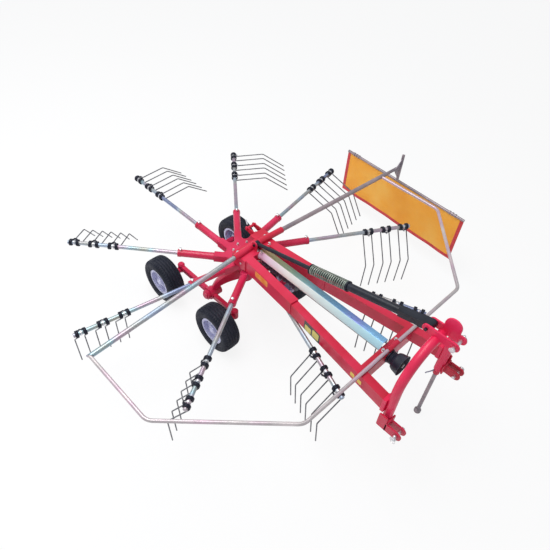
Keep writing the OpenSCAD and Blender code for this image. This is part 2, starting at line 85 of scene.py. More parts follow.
tree.links.new(path.outputs["Is Camera Ray"], share.inputs[0])
tree.links.new(share.outputs[0], blend.inputs[0])
tree.links.new(shader.outputs[0], blend.inputs[1])
tree.links.new(glow.outputs[0], blend.inputs[2])
tree.links.new(blend.outputs[0], tree.nodes["Material Output"].inputs[0])
floor_mesh.materials.append(pale)

world = bpy.data.worlds.new("surround")
bpy.context.scene.world = world
world.use_nodes = True
tree = world.node_tree
sky = tree.nodes["Background"]
sky.inputs["Color"].default_value = (0.93, 0.96, 1.0, 1)
sky.inputs["Strength"].default_value = 0.62
white = tree.nodes.new("ShaderNodeBackground")
white.inputs["Strength"].default_value = 1.0
white.inputs["Color"].default_value = (1, 1, 1, 1)
path = tree.nodes.new("ShaderNodeLightPath")
blend = tree.nodes.new("ShaderNodeMixShader")
tree.links.new(path.outputs["Is Camera Ray"], blend.inputs[0])
tree.links.new(sky.outputs[0], blend.inputs[1])
tree.links.new(white.outputs[0], blend.inputs[2])
tree.links.new(blend.outputs[0], tree.nodes["World Output"].inputs[0])

for lamp_name, spot, size, power in (("overhead lamp", (-1.5, 1.5, 6.0), 5.0, 330),
                                     ("near lamp", (-4.5, -3.5, 4.0), 4.0, 120)):
    lamp = bpy.data.objects.new(lamp_name, bpy.data.lights.new(lamp_name, "AREA"))
    bpy.context.scene.collection.objects.link(lamp)
    lamp.data.shape = "DISK"
    lamp.data.size = size
    lamp.data.energy = power
    lamp.location = spot
    aim = np.array((0, 0, 0.5)) - np.array(spot)
    lamp.rotation_euler = (math.acos(-aim[2] / np.linalg.norm(aim)), 0, math.atan2(aim[0], -aim[1]))

# Red frame
# The saddle, beams, headstock, column, axle and bogies are welded steel, shot
# blasted and sprayed with a bright crimson gloss that pools a little unevenly.


def inlet(made, name):
    """The shader's socket of that name, which is written with underscores for spaces."""
    return made.node_tree.nodes["Principled BSDF"].inputs[name.replace("_", " ")]


def finish(name, **sockets):
    """A material whose shader sockets are set by name."""
    made = bpy.data.materials.new(name)
    made.use_nodes = True
    for socket, value in sockets.items():
        inlet(made, socket).default_value = value
    return made


def node(made, kind, sockets=(), **settings):
    """Adds a node to a material. sockets pairs an input with a value or with another node's output."""
    added = made.node_tree.nodes.new(kind)
    for key, value in settings.items():
        setattr(added, key, value)
    for key, value in dict(sockets).items():
        if isinstance(value, bpy.types.NodeSocket):
            made.node_tree.links.new(value, added.inputs[key])
        else:
            added.inputs[key].default_value = value
    return added


def grain(made, scale, detail, stretch=(1, 1, 1)):
    """Noise of that scale, pulled out along the axes by stretch, from 0 to 1."""
    place = node(made, "ShaderNodeTexCoord").outputs["Object"]
    pulled = node(made, "ShaderNodeMapping", {"Vector": place, "Scale": stretch}).outputs[0]
    noise = node(made, "ShaderNodeTexNoise", {"Vector": pulled, "Scale": scale, "Detail": detail})
    return noise.outputs["Fac"]


def ramp(made, value, *stops):
    """Colours or greys spread along a value: stops are (place, colour)."""
    added = node(made, "ShaderNodeValToRGB", {"Fac": value})
    marks = added.color_ramp.elements
    while len(marks) < len(stops):
        marks.new(0.5)
    for mark, (spot, colour) in zip(marks, stops):
        mark.position = spot
        mark.color = (*colour, 1) if isinstance(colour, tuple) else (colour, colour, colour, 1)
    return added.outputs[0]


def clouds(made, scale, detail, *stops):
    """Colours or greys in soft clouds: a ramp over the noise of that scale."""
    return ramp(made, grain(made, scale, detail), *stops)


def feed(made, **sources):
    """Links outputs to the shader's sockets by name."""
    for socket, output in sources.items():
        made.node_tree.links.new(output, inlet(made, socket))


def relief(made, height, depth):
    """A bump of that depth in metres from a height that runs from 0 to 1."""
    return node(made, "ShaderNodeBump", {"Height": height, "Distance": depth, "Strength": 0.6}).outputs[0]


def mixed(made, share, one, other, how="MIX"):
    """Two colours mixed by a share from 0 to 1."""
    added = node(made, "ShaderNodeMix", data_type="RGBA", blend_type=how)
    for index, value in ((0, share), (6, one), (7, other)):
        if isinstance(value, bpy.types.NodeSocket):
            made.node_tree.links.new(value, added.inputs[index])
        else:
            added.inputs[index].default_value = value if index == 0 else (*value, 1)
    return added.outputs[2]


def dress(made, *names):
    """Gives CAD nodes a material in place of their plain one."""
    for name in names:
        frame["nodes"][name].data.materials.clear()
        frame["nodes"][name].data.materials.append(made)


def gloss(name, deep, plain, light):
    """A sprayed enamel: three depths of one colour in slow clouds, dusty specks and an orange-peel skin."""
    made = finish(name, Coat_Weight=0.30, Coat_Roughness=0.20, Specular_IOR_Level=0.35)
    pooled = clouds(made, 2.6, 3, (0.32, deep), (0.5, plain), (0.68, light))
    dusty = clouds(made, 55, 6, (0.62, 0.0), (0.80, 0.25))
    feed(made, Base_Color=mixed(made, dusty, pooled, (0.50, 0.08, 0.12)),
         Roughness=clouds(made, 11, 4, (0.3, 0.30), (0.7, 0.50)),
         Normal=relief(made, grain(made, 240, 2), 0.0005))
    return made


red = gloss("crimson gloss", (0.45, 0.004, 0.022), (0.57, 0.009, 0.044), (0.65, 0.020, 0.075))
rose = gloss("rose crimson gloss", (0.45, 0.004, 0.034), (0.55, 0.009, 0.062), (0.65, 0.035, 0.115))
dress(red, "saddle", "gearbox", "beam_left", "beam_right", "cross_beam")
dress(rose, "arm_sockets")

# Fasteners
# Zinc-plated hexagon bolts on flat washers, in the pieces that are bolted up. A
# bolt is turned from a bar, its head pressed to six sides and chamfered.
rotor_x, rotor_y, arm_z = next(j for j in frame["joints"] if j["name"] == "rotor_turn")["pos_m"]


def at(x, y, z):
    """Row-frame points, in metres, from millimetres off the rotor's axis: shift by the axis and divide
    by a thousand."""
    x, y, z = np.broadcast_arrays(x, y, z)
    return np.stack([rotor_x + x / 1000, rotor_y + y / 1000, z / 1000], -1)


def quads(pieces, along, around, loop=False):
    """Faces of several equal grids, each along by around points and closed around; loop closes them along
    as well."""
    i, j = np.meshgrid(np.arange(along if loop else along - 1), np.arange(around), indexing="ij")
    k, m = (i + 1) % along, (j + 1) % around
    one = np.stack([i * around + j, i * around + m, k * around + m, k * around + j], -1).reshape(-1, 4)
    return (one + np.arange(pieces)[:, None, None] * along * around).reshape(-1, 4)


def lids(pieces, along, around):
    """The two end faces of each such grid, both facing out."""
    start = np.arange(pieces)[:, None] * along * around
    ring = np.arange(around)
    return np.concatenate([start + ring[::-1], start + (along - 1) * around + ring])


def turned(profile, places, axes, sides):
    """Solids of revolution with flat ends. Each point is place + axis * height + radius * (cos a * e1 +
    sin a * e2), for the (radius, height) pairs of the profile and the angle a."""
    profile, places = np.asarray(profile, float), np.atleast_2d(places)
    axes = np.broadcast_to(np.asarray(axes, float), places.shape)
    axes = axes / np.linalg.norm(axes, axis=1, keepdims=True)
    aside = np.where(np.abs(axes[:, 2:]) > 0.9, [[1.0, 0, 0]], [[0, 0, 1.0]])
    e1 = np.cross(aside, axes)
    e1 /= np.linalg.norm(e1, axis=1, keepdims=True)
    e2 = np.cross(axes, e1)
    a = np.arange(sides) * 2 * np.pi / sides
    out = np.cos(a)[None, :, None] * e1[:, None] + np.sin(a)[None, :, None] * e2[:, None]
    points = (places[:, None, None] + profile[None, :, None, 1:] * axes[:, None, None]
              + profile[None, :, None, :1] * out[:, None])
    grid = len(places), len(profile), sides
    return points.reshape(-1, 3), [quads(*grid), lids(*grid)]


def together(*shapes):
    """Several (points, faces) as one, the later faces counted on from the earlier points."""
    starts = np.cumsum([0] + [len(points) for points, _ in shapes])
    faces = [group + start for (_, groups), start in zip(shapes, starts) for group in groups]
    return np.concatenate([points for points, _ in shapes]), faces


def piece(name, shape, made, body, stands_for=(), crease=32):
    """Makes a mesh of a shape at the origin, smooth up to the crease angle, and lets it ride on its body."""
    points, faces = shape
    mesh = bpy.data.meshes.new(name)
    mesh.from_pydata(points.tolist(), [], [f for group in faces for f in group.tolist()])
    mesh.materials.append(made)
    mesh.shade_smooth()
    mesh.set_sharp_from_angle(angle=math.radians(crease))
    made_object = bpy.data.objects.new(name, mesh)
    bpy.context.scene.collection.objects.link(made_object)
    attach(made_object, body)
    if stands_for:
        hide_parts(*stands_for)
    return made_object


def hex_bolts(places, axes, flats):
    """A washer and a chamfered six-sided head at each place, along each axis: flats is the head's width."""
    r, high, thick = flats / 2 / math.cos(math.pi / 6), 0.65 * flats, 0.16 * flats
    washer = turned([(1.08 * r, -0.002), (1.08 * r, thick * 0.8), (1.02 * r, thick)], places, axes, 20)
    head = turned([(r, 0), (r, thick + 0.8 * high), (0.86 * r, thick + high)], places, axes, 6)
    return together(washer, head)


def surface(name, colours, rough, bump=(), **sockets):
    """A material from three grains: the clouds() of its colours, the clouds() of its roughness, and the
    grain() and depth of its bump."""
    made = finish(name, **sockets)
    feed(made, Base_Color=clouds(made, *colours), Roughness=clouds(made, *rough))
    if bump:
        feed(made, Normal=relief(made, grain(made, *bump[:-1]), bump[-1]))
    return made


bright = surface("bright zinc plate", (35, 4, (0.35, (0.62, 0.62, 0.66)), (0.65, (0.86, 0.85, 0.84))),
                 (90, 3, (0.3, 0.22), (0.7, 0.42)), (400, 2, 0.0002), Metallic=0.9)
dress(bright, "link_pins")

m8, m10, m12, m14 = 0.013, 0.017, 0.019, 0.022  # widths over the flats
up, saddle_top, shaft_z, flange_r = (0, 0, 1), 800, 745, 40
saddle_bolts = [(at(x, y, saddle_top), up) for x, y in ((106, -147), (-13, -146), (-140, -60), (140, -60))]
saddle_bolts += [(at(s * 24, -193, 826.5), up) for s in (-1, 1)]
saddle_bolts += [(at(s * 153, -120, 748), (s, 0, 0)) for s in (-1, 1)]
saddle_bolts += [(at(flange_r * math.cos(a), -178, shaft_z + flange_r * math.sin(a)), (0, -1, 0))
                 for a in np.arange(6) * math.pi / 3 + 0.3]
places, axes = [np.array(column, float) for column in zip(*saddle_bolts)]
piece("saddle_bolts", hex_bolts(places, axes, m12), bright, "frame")

# Zinc tubes
# The guard's arms, the curtain's carrier and rail, the tine bars and the stand are
# steel tube with a passivated zinc coat, whose film shows faint bands of colour.


def plated(name, metal, *film):
    """Zinc plate under a thin film: slow bands of the film's colours, a fine spangle and soft highlights."""
    made = finish(name, Metallic=metal)
    bands = ramp(made, grain(made, 2.4, 2, (1, 1, 3)), *zip(np.linspace(0.3, 0.7, len(film)), film))
    spangle = clouds(made, 26, 3, (0.35, 0.88), (0.65, 1.0))
    feed(made, Base_Color=mixed(made, 1.0, bands, spangle, "MULTIPLY"),
         Roughness=clouds(made, 9, 3, (0.3, 0.34), (0.7, 0.48)),
         Normal=relief(made, grain(made, 90, 2), 0.00015))
    return made


zinc = plated("passivated zinc", 0.75, (0.26, 0.30, 0.46), (0.42, 0.50, 0.60), (0.44, 0.45, 0.44),
              (0.50, 0.38, 0.46), (0.34, 0.48, 0.54), (0.40, 0.38, 0.32))
# A darker, less metallic copy of the passivated zinc: its darker bands are painted shade on the parts it
# dresses.
shaded_zinc = plated("shaded zinc", 0.5, (0.22, 0.19, 0.22), (0.34, 0.28, 0.30), (0.42, 0.34, 0.36),
              (0.30, 0.27, 0.29))
dress(shaded_zinc, "curtain_carrier", "curtain_rail", "guard_arm_left")
dress(zinc, "guard_arm_right", *[f"tine_bar_{k}" for k in range(1, 10)])

# Guard bow
# One plated steel tube, bent at four corners, runs from the end of the right arm round
# the front to the left arm. It is slimmer than the arms, and on the cross beam it lies
# under a red half-round clamp with a bolt at each end.


def swept(paths, normals, section, loop=False):
    """A section carried along paths. Each point is the path's point + u * normal + v * (tangent x normal)
    for the (u, v) of the section, which may change along the path; loop closes the path on itself."""
    paths = np.asarray(paths, float).reshape(-1, *np.shape(paths)[-2:])
    tangents = np.roll(paths, -1, 1) - np.roll(paths, 1, 1) if loop else np.gradient(paths, axis=1)
    tangents /= np.linalg.norm(tangents, axis=2, keepdims=True)
    normals = np.broadcast_to(np.asarray(normals, float), paths.shape)
    normals = normals - (normals * tangents).sum(2, keepdims=True) * tangents
    normals /= np.linalg.norm(normals, axis=2, keepdims=True)
    across = np.cross(tangents, normals)
    section = np.broadcast_to(section, (paths.shape[1], *np.shape(section)[-2:]))
    points = (paths[:, :, None] + section[None, :, :, :1] * normals[:, :, None]
              + section[None, :, :, 1:] * across[:, :, None])
    grid = points.shape[:3]
    return points.reshape(-1, 3), [quads(*grid, loop)] + ([] if loop else [lids(*grid)])


def round_wire(radius, sides=10):
    """The circle of a wire or tube as (u, v) points."""
    a = np.arange(sides) * 2 * np.pi / sides
    return radius * np.stack([np.cos(a), np.sin(a)], -1)


def bent(corners, radius, count=9):
    """A tube's middle line with its corners bent round: each corner gives way to points of the circle that
    touches both of its runs, middle + radius * (sin a * onwards - cos a * back)."""
    runs = np.diff(corners, axis=0)
    runs /= np.linalg.norm(runs, axis=1, keepdims=True)
    back, onwards = runs[1:] - runs[:-1], runs[1:] + runs[:-1]
    turn = np.arcsin(np.linalg.norm(back, axis=1) / 2)
    back, onwards = [v / np.linalg.norm(v, axis=1, keepdims=True) for v in (back, onwards)]
    middle = corners[1:-1] + back * (radius / np.cos(turn))[:, None]
    a = (np.linspace(-1, 1, count) * turn[:, None])[..., None]
    points = middle[:, None] + radius * (np.sin(a) * onwards[:, None] - np.cos(a) * back[:, None])
    return np.concatenate([corners[:1], points.reshape(-1, 3), corners[-1:]])


bow_r, bow_z, guard_arm_z, front_y, rear_y = 12.5, 807.8, 813.3, -1376, -170
x = np.array([-1452.0, -1445, -795, 795, 1445, 1452])
y = np.array([-163.0, -764, front_y, front_y, -764, -186.5])
corners = at(x, y, bow_z + (guard_arm_z - bow_z) * (y - front_y) / (rear_y - front_y))
# The bow's zinc is a lighter, creamier copy of the passivated zinc: its raised colour is painted highlight.
lit_bow_zinc = plated("bow zinc with painted highlight", 0.5, (0.72, 0.64, 0.60), (0.64, 0.47, 0.56), (0.54, 0.50, 0.50),
                  (0.74, 0.66, 0.66))
piece("guard_bow", swept(bent(corners, 0.09), up, round_wire(bow_r / 1000, 20)), lit_bow_zinc, "frame",
      ("guard_side_right", "guard_corner_right", "guard_front_run", "guard_corner_left", "guard_side_left"))

half_round = np.linspace(-0.12, math.pi + 0.12, 22)
shell = np.concatenate([np.stack([(bow_r + t) * np.cos(a), (bow_r + t) * np.sin(a)], -1)
                        for t, a in ((6.6, half_round), (0.5, half_round[::-1]))]) / 1000
clamp = swept(at(np.linspace(-20, 82, 8), front_y, bow_z), (0, 1, 0), shell)
piece("guard_clamp", clamp, red, "frame")
clamp_bolts = hex_bolts(at(np.array([-36.0, 97]), front_y + 24, 795), up, m12)
piece("guard_bolts", clamp_bolts, bright, "frame")

# Rotor hub
# A welded star: the nine sockets run in to a drum over the column, and the plate
# between each two is cut back to a round hollow. Eight bolts hold its bearing lid.


def arc(x, y, r, start, stop, count=14):
    """Points on a circle about (x, y) from one angle to another, in degrees."""
    a = np.radians(np.linspace(start, stop, count))
    return np.stack([x + r * np.cos(a), y + r * np.sin(a)], -1)


def inset(outline, by):
    """Moves a closed outline inwards: each point goes along the mean of its two sides' normals, as far as a
    mitre does."""
    side = np.roll(outline, -1, 0) - outline
    side = side / np.linalg.norm(side, axis=1, keepdims=True)
    inward = np.stack([-side[:, 1], side[:, 0]], -1)
    both = inward + np.roll(inward, 1, 0)
    return outline + by * both / np.maximum((both * inward).sum(1, keepdims=True), 0.4)


def plates(outline, spots, lie, thick, bevel=1.5):
    """Plates cut to an outline, which lie along a right and an up direction. Each point is spot + u * right
    + v * up + level * (right x up), with the outline a bevel further in at its two faces."""
    outline, spots = np.asarray(outline, float), np.atleast_2d(spots)
    right, up_side = np.asarray(lie, float)
    rings = np.stack([inset(outline, bevel), outline, outline, inset(outline, bevel)]) / 1000
    levels = np.array([-thick / 2, bevel - thick / 2, thick / 2 - bevel, thick / 2]) / 1000
    points = (rings[..., :1] * right + rings[..., 1:] * up_side
              + levels[:, None, None] * np.cross(right, up_side))
    points = spots[:, None, None] + points[None]
    grid = len(spots), 4, len(outline)
    return points.reshape(-1, 3), [quads(*grid), lids(*grid)]


def swung(x, y, angle):
    """A point turned about the origin: (x cos a - y sin a, x sin a + y cos a)."""
    return x * np.cos(angle) - y * np.sin(angle), x * np.sin(angle) + y * np.cos(angle)


flat, crossways, lengthways = ((1, 0, 0), (0, 1, 0)), ((1, 0, 0), (0, 0, 1)), ((0, 1, 0), (0, 0, 1))
first_arm, step = math.radians(10.74), math.radians(40)
root, inner, outer, hollow = 245.0, 28.5, 86.5, 30.0
hollow_x = ((outer + hollow) * math.cos(step) - (inner - hollow)) / math.sin(step)
branch = np.concatenate([[[root, outer]], arc(hollow_x, outer + hollow, hollow, -90, -230),
                         [swung(root, inner, step)]])
star = np.stack(swung(*branch.T, first_arm + np.arange(9)[:, None] * step), -1).reshape(-1, 2)
drum = turned([(0.116, 0), (0.118, 0.002), (0.118, 0.086), (0.112, 0.092)], at(0, 0, 598), up, 72)
lid = turned([(0.082, 0), (0.082, 0.004), (0.078, 0.008)], at(0, 0, 690), up, 60)
hub = together(plates(star, at(0, 0, arm_z * 1000), flat, 66, 4), drum, lid)
piece("hub_star", hub, rose, "rotor", ["rotor_hub"])
a = np.arange(8) * math.pi / 4
piece("hub_bolts", hex_bolts(at(99 * np.cos(a), 99 * np.sin(a), 690), up, m10), bright, "rotor")

# Saddle
# One sleeve for the guard's two arms runs across the saddle, and a bracket of two
# ears and a bar stands at its rear. A pale plated strip on its right side is a painted
# highlight where the saddle's edge catches the light.
sleeve_path = at(np.array([-105.0, 0, 105]), np.array([-90.2, -84, -90.2]), guard_arm_z)
sleeve = swept(sleeve_path, up, round_wire(0.0249, 28))
ears = plates([(-45, 748), (60, 748), (124, 772), (132, 782), (132, 792), (124, 800), (-45, 800)],
              at(np.array([112.0, 185]), 0, 0), lengthways, 10)
shelf = plates([(60, -70), (192, -70), (192, 10), (180, 22), (60, 22)], at(0, 0, saddle_top - 1), flat, 8)
bar = turned([(0.012, 0), (0.012, 0.100)], at(99, 112, 784), (1, 0, 0), 24)
piece("saddle_bracket", together(sleeve, ears, shelf, bar), red, "frame")
# Painted highlight: a thin bright plate laid along the saddle's right edge.
painted_highlight_strip = plates([(126, 135), (136, 129), (168, 182), (158, 188)], at(0, 0, saddle_top + 1), flat, 3, 0.5)
piece("saddle_highlight_strip", painted_highlight_strip, bright, "frame")

# Headstock
# A round tube bent to an arch carries the hitch: narrow plates over its top, the
# left one with a round lug, and a yoke at each foot whose outer cheek runs up the leg.
arch_r, arch_y, foot_z = 288, -1624, 575
arch = np.concatenate([[[arch_r, foot_z]], arc(0, 892, arch_r, 0, 180, 49), [[-arch_r, foot_z]]])
tube = swept(at(arch[:, 0], arch_y, arch[:, 1]), (0, 1, 0), round_wire(0.030, 32))
beam_ends = plates([(260, 688), (328, 688), (328, 806), (260, 806)], at(np.array([0, -588]), -1589, 0),
                   crossways, 26, 2)
# The arch, the beam ends and the hitch plates take a brighter, pinker copy of the crimson gloss: painted
# light.
lit_arch_red = gloss("lit arch crimson gloss", (0.64, 0.010, 0.062), (0.78, 0.016, 0.085), (0.86, 0.045, 0.140))
piece("arch_tube", together(tube, beam_ends), lit_arch_red, "frame", ["headstock_arch"])

low_pin_y, low_pin_z, top_pin_y, top_pin_z = -1739, 609, -1735, 1219
narrow = np.concatenate([arc(top_pin_y, top_pin_z, 30, 90, 270), arc(-1555, 1218, 30, -90, 90)])
lug = np.concatenate([narrow, [(-1610, 1249), (-1612, 1251)], arc(-1664, 1278, 52, 0, 180, 22),
                      [(-1716, 1251), (-1718, 1249)]])
hitch = together(plates(narrow, at(-36, 0, 0), lengthways, 12), plates(lug, at(36, 0, 0), lengthways, 12))
piece("hitch_plates", hitch, lit_arch_red, "frame", ["top_link_plates"])

nose = arc(low_pin_y, low_pin_z, 34, 90, 270, 16)
inner_cheek = np.concatenate([nose, [(-1642, 575), (-1642, 643)]])
outer_cheek = np.concatenate([nose, [(-1602, 575), (-1596, 581), (-1596, 694), (-1602, 700), (-1648, 700),
                                     (-1658, 690), (-1658, 643)]])
yoke_backs = [(262, 575), (352, 575), (352, 653), (262, 653)]
yokes = together(plates(inner_cheek, at(np.array([-296.0, 296]), 0, 0), lengthways, 12),
                 plates(outer_cheek, at(np.array([-346.0, 346]), 0, 0), lengthways, 12),
                 plates(yoke_backs, at(np.array([0, -614]), -1659, 0), crossways, 12))
piece("link_yokes", yokes, red, "frame", ["link_yoke_left", "link_yoke_right"])

# Running gear
# Two curved arms of welded plate come down from the column to the pivots of the
# bogies, square tubes that end in upright housings over the stub axles.
column = turned([(0.050, 0), (0.058, 0.008), (0.058, 0.143), (0.076, 0.151), (0.076, 0.2027), (0.045, 0.2028),
                 (0.045, 0.305)], at(0, 0, 395), up, 56)
pivot_x, pivot_y = 215, 172
# An arm's upper and lower edges are arcs. Its section is a box with narrow bevels, by
# place across, share of the height and a nudge.
arm_steps, high_r, low_r = 24, 305, 405
out = np.linspace(26, 283, arm_steps)
high_z, low_z = 190 + np.sqrt(high_r ** 2 - (out + 10) ** 2), 9 + np.sqrt(low_r ** 2 - (out + 45) ** 2)
across = np.array([-26.0, 26, 30, 30, 26, -26, -30, -30])
share_up = np.array([0.0, 0, 0, 1, 1, 1, 1, 0])
nudge = np.array([0.0, 0, 4, -4, 0, 0, -4, 4])
heights = low_z[:, None] + (high_z - low_z)[:, None] * share_up + nudge
arms = [(at(*swung(out[:, None], across, math.atan2(pivot_y, x)), heights).reshape(-1, 3),
         [quads(1, arm_steps, 8), lids(1, arm_steps, 8)]) for x in (pivot_x, -pivot_x)]
piece("axle_arms", together(column, *arms), rose, "frame", ["column", "axle_beam"])

tubes = plates([(-150, 206), (606, 206), (606, 255), (-150, 255)], at(np.array([-235.0, 235]), 0, 0),
               lengthways, 38, 4)
pivots = turned([(0.046, 0), (0.048, 0.002), (0.048, 0.063), (0.055, 0.066), (0.055, 0.112), (0.042, 0.115),
                 (0.042, 0.138), (0.030, 0.141), (0.028, 0.152)],
                at(np.array([150.0, -150]), pivot_y, 236), [(1, 0, 0), (-1, 0, 0)], 40)
ends_x, ends_y = np.array([235.0, 235, -235, -235]), np.array([-130.0, 584, -130, 584])
housings = turned([(0.029, 0), (0.031, 0.002), (0.031, 0.074), (0.027, 0.077), (0.024, 0.084),
                   (0.020, 0.087)], at(ends_x, ends_y, 187), up, 36)
axles = turned([(0.026, 0), (0.026, 0.137), (0.020, 0.141), (0.020, 0.222)],
               at(ends_x, ends_y, 205), np.sign(ends_x)[:, None] * np.array([1.0, 0, 0]), 32)
piece("bogies", together(tubes, pivots, housings, axles), rose, "frame",
      ["bogie_left", "bogie_right"])

# Tines
# Each pair of tines is one length of spring wire: tip, bend, prong, a coil round
# the bar, a loop under the bar that a bolt holds, then the same again. The coils
# are dipped black and the prongs wear down to grey steel.
wire, coil_r, pair_pitch, coil_pitch, reach, edge = 9.5, 23.75, 158.2, 54.3, 1400.0, 10.25
rolls = np.radians([67, 95, 91.5, 75, 39.5, 36, 34, 35, 37.5])


def half_tine(bend=math.radians(38.6), bend_r=34.0, prong_l=285, tail_l=255, coil_points=46):
    """One half of a pair from the loop to the tip, as x from the coil's middle, y and z: a helix
    x = edge * (1 - 2 q), y = r cos a, z = r sin a, with a from 2.75 turns down to 0, then a straight prong,
    an arc and a straight end. Also the unit normals, the share of black and the share of the full width."""
    a = np.linspace(2.75 * 2 * np.pi, 0, coil_points)
    helix = np.stack([np.linspace(-edge, edge, coil_points), coil_r * np.cos(a), coil_r * np.sin(a)], -1)
    out = np.stack([a * 0, np.cos(a), np.sin(a)], -1)
    cut = bend_r * math.tan(bend / 2)
    q = np.linspace(0, bend, 7)
    curve = np.stack([q * 0 + edge, coil_r + bend_r * (1 - np.cos(q)),
                      cut - prong_l - bend_r * np.sin(q)], -1)
    curve_out = np.stack([q * 0, np.cos(q), np.sin(q)], -1)
    fall = np.array([0, math.sin(bend), -math.cos(bend)])
    tail = curve[-1] + np.array([120.0, tail_l - cut, tail_l - cut + 3])[:, None] * fall
    prong = np.stack([[edge] * 3, [coil_r] * 3, [-14.0, -120.0, -220.0]], -1)
    points = np.concatenate([helix, prong, curve, tail])
    outward = np.concatenate([out, np.repeat([[0, 1.0, 0]], 3, 0), curve_out,
                              np.repeat(curve_out[-1:], 3, 0)])
    black = np.concatenate([np.ones(coil_points), [0.8], np.zeros(12)])
    size = np.concatenate([np.ones(len(points) - 1), [0.25]])
    return points, outward, black, size


half, half_out, half_black, half_size = half_tine()
q = np.linspace(0, np.pi, 13)[1:-1]
span = (coil_pitch - 2 * edge) / 2
loop = np.stack([-edge - span + span * np.cos(q), -9 - span * np.sin(q) * 0.9, q * 0 - coil_r], -1)
other = half * (-1, 1, 1) - (coil_pitch, 0, 0)
pair_path = np.concatenate([half[::-1], loop, other])
pair_out = np.concatenate([half_out[::-1], np.repeat([[0, 0, -1.0]], len(loop), 0), half_out])
pair_black = np.concatenate([half_black[::-1], np.ones(len(loop)), half_black])
pair_size = np.concatenate([half_size[::-1], np.ones(len(loop)), half_size])


arm_aside = (inner + outer) / 2


def on_arm(k, points, rolled=True, lay=False):
    """Points of arm k, as distance out along its axis, sideways and up, in millimetres: turned about the arm
    by its roll, moved sideways to the socket's middle and turned by the arm's heading about the rotor.
    lay turns directions only."""
    s, y, z = np.moveaxis(np.asarray(points, float), -1, 0)
    z, y = swung(z, y, rolls[k] if rolled else 0.0)
    heading = first_arm + step * k
    if lay:
        return np.stack([*swung(s, y, heading), z], -1)
    return at(*swung(s, y + arm_aside, heading), arm_z * 1000 + z)


tine_steel = finish("tine wire", Metallic=0.35)
coat = node(tine_steel, "ShaderNodeAttribute", attribute_name="black_coat").outputs["Fac"]
grey = clouds(tine_steel, 22, 4, (0.35, (0.085, 0.085, 0.10)), (0.65, (0.20, 0.20, 0.21)))
feed(tine_steel, Base_Color=mixed(tine_steel, coat, grey, (0.007, 0.009, 0.022)),
     Roughness=clouds(tine_steel, 60, 3, (0.3, 0.32), (0.7, 0.55)),
     Normal=relief(tine_steel, grain(tine_steel, 300, 2), 0.0003))
starts = (reach - pair_pitch * np.arange(3))[:, None, None] * np.array([1.0, 0, 0])
section = round_wire(wire / 2000, 8)[None] * pair_size[:, None, None]
for k in range(9):
    outs = on_arm(k, np.repeat(pair_out[None], 3, 0), lay=True)
    wires = piece(f"tine_wires_{k + 1}", swept(on_arm(k, pair_path + starts), outs, section), tine_steel,
                  "rotor", [f"tines_{k + 1}"], 50)
    coated = wires.data.attributes.new("black_coat", "FLOAT", "POINT")
    coated.data.foreach_set("value", np.tile(np.repeat(pair_black, 8), 3).astype(np.float32))

middles = reach - coil_pitch / 2 - pair_pitch * np.arange(3)
holders = np.stack([middles, middles * 0, middles * 0], -1)
seats = holders - (0, 11.0, coil_r + wire / 2)
bolt_spots, ring_spots = [np.concatenate([on_arm(k, spots) for k in range(9)]) for spots in (seats, holders)]
downs, outwards = [np.concatenate([np.repeat(on_arm(k, [way], lay=True), 3, 0) for k in range(9)])
                   for way in ((0, 0, -1.0), (1.0, 0, 0))]
rings = turned([(0.0180, -0.006), (0.0195, -0.005), (0.0195, 0.005), (0.0180, 0.006)],
               ring_spots, outwards, 28)
piece("tine_clamps", together(hex_bolts(bolt_spots, downs, m8), rings), bright, "rotor")

# Arm locks
# Each tine bar is held in its red socket by a plated pin with a round head, which
# passes through both; the bar lifts out for transport.
pin_spots = np.concatenate([on_arm(k, [[511.0, 0, 31]], rolled=False) for k in range(9)])
pins = turned([(0.0075, -0.006), (0.0075, 0.012), (0.011, 0.013), (0.011, 0.019), (0.006, 0.022)],
              pin_spots, up, 16)
piece("socket_pins", pins, bright, "rotor")

# Tyres
# Low-pressure implement tyres, moulded in one piece: a ribbed crown with fine cuts
# across it, notched shoulders and a sidewall with two raised rings.


def rounded(outline, passes):
    """Cuts the corners of a closed outline: each side gives its points at one and at three quarters, again
    and again."""
    for _ in range(passes):
        after = np.roll(outline, -1, 0)
        outline = np.stack([0.75 * outline + 0.25 * after, 0.25 * outline + 0.75 * after], 1).reshape(-1, 2)
    return outline


def even(outline, count):
    """Points at equal steps round a closed outline."""
    ring = np.concatenate([outline, outline[:1]])
    length = np.concatenate([[0], np.cumsum(np.linalg.norm(np.diff(ring, axis=0), axis=1))])
    steps = np.linspace(0, length[-1], count, endpoint=False)
    return np.stack([np.interp(steps, length, ring[:, i]) for i in (0, 1)], -1)


def smooth(value, low, high):
    """0 below low, 1 above high, and 3 q^2 - 2 q^3 between."""
    q = np.clip((value - low) / (high - low), 0, 1)
    return q * q * (3 - 2 * q)


steps_round, section_points = 224, 132
tyre_half = np.array([(105.4, 61), (119, 61), (125, 71), (150, 82.4), (177, 80.3), (196, 69), (204.9, 46)])
tyre_outline = np.concatenate([tyre_half * (1, -1), tyre_half[::-1]])
tyre_section = even(rounded(tyre_outline, 3), section_points)
r, w = tyre_section[None, :, 0], tyre_section[None, :, 1]
turn = np.arange(steps_round)[:, None] * 2 * np.pi / steps_round
crown = smooth(r, 190, 199)
wander = 2.2 * np.sin(28 * turn)
grooves = sum(np.exp(-(((w - middle - wander) / 3.4) ** 2)) for middle in (-38, -13, 13, 38))
cuts = smooth(np.sin(56 * turn + 0.05 * w), 0.72, 0.95) * smooth(np.abs(w), 44, 52) * smooth(r, 172, 186)
ridge = sum(np.exp(-(((r - middle) / 1.8) ** 2)) for middle in (131, 168)) * smooth(np.abs(w), 66, 72)
groove_deep, cut_deep, ridge_high, half_wide = 6.5, 5.0, 1.1, 82.5
tread_r = r - groove_deep * crown * np.clip(grooves, 0, 1) - cut_deep * cuts
